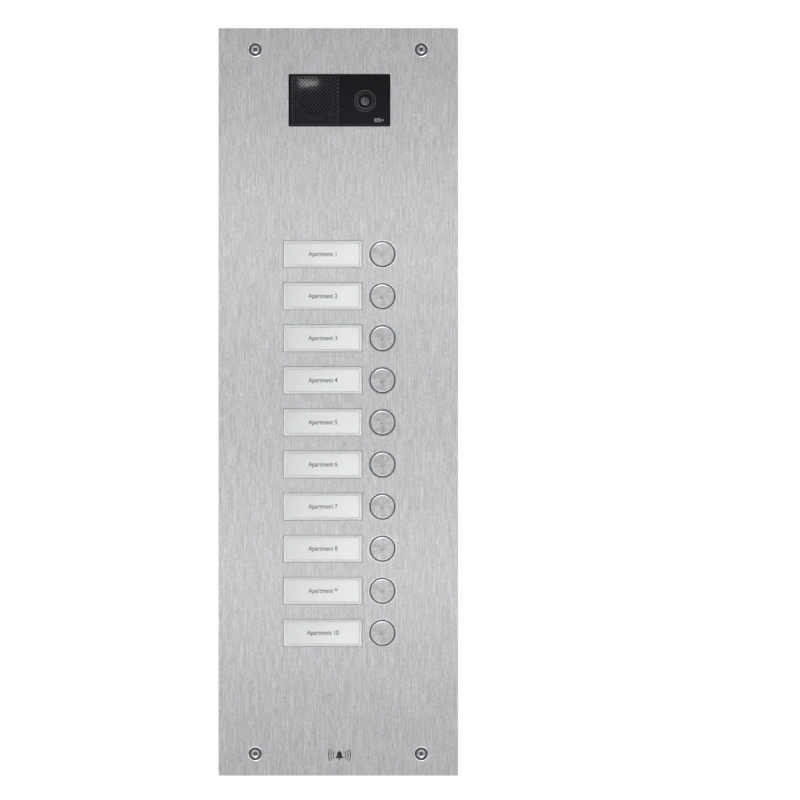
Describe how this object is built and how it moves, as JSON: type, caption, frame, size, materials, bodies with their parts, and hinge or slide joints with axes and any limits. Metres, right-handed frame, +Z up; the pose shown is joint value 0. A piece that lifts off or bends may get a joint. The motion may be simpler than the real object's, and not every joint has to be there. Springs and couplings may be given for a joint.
{
  "type": "door intercom panel",
  "caption": "Flush-mounted stainless entrance intercom panel with a speaker grille, an adjustable camera, name windows and round sprung call buttons over a wall box.",
  "frame": {"origin": "middle of the panel at the wall's surface: the gasket's rear face, on the faceplate's centre", "axes": "+Z up, +X to the right for a caller facing the panel, +Y into the wall; the faceplate faces -Y"},
  "size_m": [0.18, 0.0563, 0.562],
  "materials": {
    "brushed_steel": "vertical brushed grain, satin",
    "turned_steel": "fine turned face, satin",
    "screw_steel": "bright zinc or stainless",
    "spring_steel": "drawn wire, bright",
    "galvanised_steel": "hot-dip spangle, dull",
    "black_rubber": "matte",
    "card_paper": "smooth uncoated card",
    "white_plastic": "matte white",
    "black_plastic": "fine moulded grain",
    "module_plastic": "fine moulded grain",
    "grille_plastic": "satin moulded mesh",
    "fascia_plastic": "fine satin gloss",
    "smoked_plastic": "polished, smoked",
    "clear_plastic": "polished, clear",
    "silicone": "translucent, soft",
    "circuit_board": "green solder mask",
    "lamp_resin": "white lamp resin",
    "speaker_steel": "pressed steel",
    "cone_paper": "black felted paper",
    "magnet_ferrite": "sintered ferrite",
    "capsule_aluminium": "drawn can",
    "barrel_metal": "black satin",
    "lens_glass": "coated glass",
    "trimmer_plastic": "blue moulding",
    "terminal_plastic": "green moulding",
    "ribbon_plastic": "grey flat lead"
  },
  "bodies": {
    "panel": {"av_circuit_board": "circuit_board", "av_frame": "module_plastic", "av_rear_cover": "black_plastic", "back_box": "galvanised_steel", "backlight_lamps": "lamp_resin", "button_board": "circuit_board", "button_housings": "black_plastic", "button_seals": "black_rubber", "button_springs": "spring_steel", "cable_grommet": "black_rubber", "camera_bracket": "module_plastic", "camera_fascia": "fascia_plastic", "camera_window": "smoked_plastic", "cup_washers": "black_plastic", "faceplate": "brushed_steel", "light_boxes": "white_plastic", "loudspeaker_basket": "speaker_steel", "microphone_boot": "black_rubber", "microphone_capsule": "capsule_aluminium", "name_cards": "card_paper", "name_window_01": "clear_plastic", "name_window_02": "clear_plastic", "name_window_03": "clear_plastic", "name_window_04": "clear_plastic", "name_window_05": "clear_plastic", "name_window_06": "clear_plastic", "name_window_07": "clear_plastic", "name_window_08": "clear_plastic", "name_window_09": "clear_plastic", "name_window_10": "clear_plastic", "plate_studs": "screw_steel", "push_switches": "black_plastic", "ribbon_cable": "ribbon_plastic", "security_screws": "screw_steel", "speaker_cone": "cone_paper", "speaker_grille": "grille_plastic", "speaker_magnet": "magnet_ferrite", "stud_nuts": "screw_steel", "switch_domes": "silicone", "terminal_block": "terminal_plastic", "terminal_screws": "screw_steel", "volume_trimmers": "trimmer_plastic", "wall_gasket": "black_rubber"},
    "button_01": {"button_cap_01": "turned_steel"},
    "button_02": {"button_cap_02": "turned_steel"},
    "button_03": {"button_cap_03": "turned_steel"},
    "button_04": {"button_cap_04": "turned_steel"},
    "button_05": {"button_cap_05": "turned_steel"},
    "button_06": {"button_cap_06": "turned_steel"},
    "button_07": {"button_cap_07": "turned_steel"},
    "button_08": {"button_cap_08": "turned_steel"},
    "button_09": {"button_cap_09": "turned_steel"},
    "button_10": {"button_cap_10": "turned_steel"},
    "camera_pan_frame": {"camera_yoke": "black_plastic"},
    "camera_head": {"camera_ball": "black_plastic", "lens_barrel": "barrel_metal", "camera_lens": "lens_glass", "camera_sensor_board": "circuit_board"},
    "speaker_trimmer": {"speaker_volume_rotor": "white_plastic"},
    "microphone_trimmer": {"microphone_volume_rotor": "white_plastic"}
  },
  "joints": [
    {"name": "button_01_press", "type": "slide", "parent": "panel", "child": "button_01", "axis": [0, 1, 0], "range_m": [0, 0.0012], "stiffness_N_per_m": 1500, "springref_m": -0.0008, "deforming": ["button_springs", "switch_domes"]},
    {"name": "button_02_press", "type": "slide", "parent": "panel", "child": "button_02", "axis": [0, 1, 0], "range_m": [0, 0.0012], "stiffness_N_per_m": 1500, "springref_m": -0.0008, "deforming": ["button_springs", "switch_domes"]},
    {"name": "button_03_press", "type": "slide", "parent": "panel", "child": "button_03", "axis": [0, 1, 0], "range_m": [0, 0.0012], "stiffness_N_per_m": 1500, "springref_m": -0.0008, "deforming": ["button_springs", "switch_domes"]},
    {"name": "button_04_press", "type": "slide", "parent": "panel", "child": "button_04", "axis": [0, 1, 0], "range_m": [0, 0.0012], "stiffness_N_per_m": 1500, "springref_m": -0.0008, "deforming": ["button_springs", "switch_domes"]},
    {"name": "button_05_press", "type": "slide", "parent": "panel", "child": "button_05", "axis": [0, 1, 0], "range_m": [0, 0.0012], "stiffness_N_per_m": 1500, "springref_m": -0.0008, "deforming": ["button_springs", "switch_domes"]},
    {"name": "button_06_press", "type": "slide", "parent": "panel", "child": "button_06", "axis": [0, 1, 0], "range_m": [0, 0.0012], "stiffness_N_per_m": 1500, "springref_m": -0.0008, "deforming": ["button_springs", "switch_domes"]},
    {"name": "button_07_press", "type": "slide", "parent": "panel", "child": "button_07", "axis": [0, 1, 0], "range_m": [0, 0.0012], "stiffness_N_per_m": 1500, "springref_m": -0.0008, "deforming": ["button_springs", "switch_domes"]},
    {"name": "button_08_press", "type": "slide", "parent": "panel", "child": "button_08", "axis": [0, 1, 0], "range_m": [0, 0.0012], "stiffness_N_per_m": 1500, "springref_m": -0.0008, "deforming": ["button_springs", "switch_domes"]},
    {"name": "button_09_press", "type": "slide", "parent": "panel", "child": "button_09", "axis": [0, 1, 0], "range_m": [0, 0.0012], "stiffness_N_per_m": 1500, "springref_m": -0.0008, "deforming": ["button_springs", "switch_domes"]},
    {"name": "button_10_press", "type": "slide", "parent": "panel", "child": "button_10", "axis": [0, 1, 0], "range_m": [0, 0.0012], "stiffness_N_per_m": 1500, "springref_m": -0.0008, "deforming": ["button_springs", "switch_domes"]},
    {"name": "camera_pan", "type": "hinge", "parent": "panel", "child": "camera_pan_frame", "pos_m": [0.02015, 0.007, 0.2261], "axis": [0, 0, 1], "range_deg": [-10, 10]},
    {"name": "camera_tilt", "type": "hinge", "parent": "camera_pan_frame", "child": "camera_head", "pos_m": [0.02015, 0.007, 0.2261], "axis": [1, 0, 0], "range_deg": [-10, 10]},
    {"name": "speaker_volume", "type": "hinge", "parent": "panel", "child": "speaker_trimmer", "pos_m": [-0.01314, 0.0255, 0.2356], "axis": [0, -1, 0], "range_deg": [-135, 135]},
    {"name": "microphone_volume", "type": "hinge", "parent": "panel", "child": "microphone_trimmer", "pos_m": [0.01486, 0.0255, 0.2356], "axis": [0, -1, 0], "range_deg": [-135, 135]}
  ]
}
